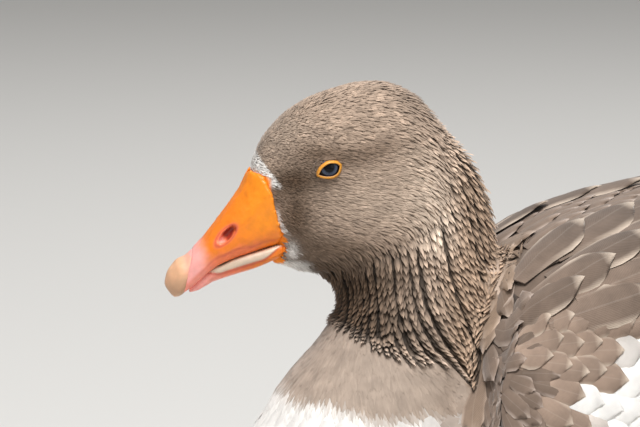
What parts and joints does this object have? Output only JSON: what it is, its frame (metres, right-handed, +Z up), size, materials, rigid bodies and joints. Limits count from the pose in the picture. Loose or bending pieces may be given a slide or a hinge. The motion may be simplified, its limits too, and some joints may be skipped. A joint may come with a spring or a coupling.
{
  "type": "domestic goose figure",
  "caption": "Life-size still model of a grey-backed domestic goose resting on its belly, neck drawn in and feet tucked under.",
  "frame": {"origin": "on the floor, under the middle of the goose's length and width", "axes": "+Z up; the goose faces -X and its left side is -Y"},
  "size_m": [0.6562, 0.2478, 0.319],
  "materials": {
    "grey_plumage": "matt taupe grey feathers of the head, neck and back",
    "white_plumage": "matt white feathers",
    "bill_horn": "satin orange skin over the bill",
    "nail_horn": "satin pale horn",
    "eye": "wet, blue-grey iris with a black pupil",
    "eyelid_skin": "matt orange-yellow skin",
    "foot_skin": "matt scaly orange skin",
    "claw_horn": "satin horn"
  },
  "bodies": {
    "root": {"bill_lower": "bill_horn", "bill_upper": "bill_horn", "breast": "white_plumage", "claw_hind_left": "claw_horn", "claw_hind_right": "claw_horn", "claw_inner_left": "claw_horn", "claw_inner_right": "claw_horn", "claw_middle_left": "claw_horn", "claw_middle_right": "claw_horn", "claw_outer_left": "claw_horn", "claw_outer_right": "claw_horn", "eye_left": "eye", "eye_right": "eye", "eyelid_left": "eyelid_skin", "eyelid_right": "eyelid_skin", "foot_left": "foot_skin", "foot_right": "foot_skin", "head": "grey_plumage", "nail": "nail_horn", "neck_lower": "grey_plumage", "neck_upper": "grey_plumage", "primaries_left": "white_plumage", "primaries_right": "white_plumage", "rump": "white_plumage", "scapulars_left": "grey_plumage", "scapulars_right": "grey_plumage", "secondaries_left": "white_plumage", "secondaries_right": "white_plumage", "shank_left": "foot_skin", "shank_right": "foot_skin", "tail": "white_plumage", "tertials_left": "white_plumage", "tertials_right": "white_plumage", "thigh_left": "grey_plumage", "thigh_right": "grey_plumage", "trunk": "white_plumage", "wing_left": "white_plumage", "wing_right": "white_plumage"}
  },
  "joints": []
}
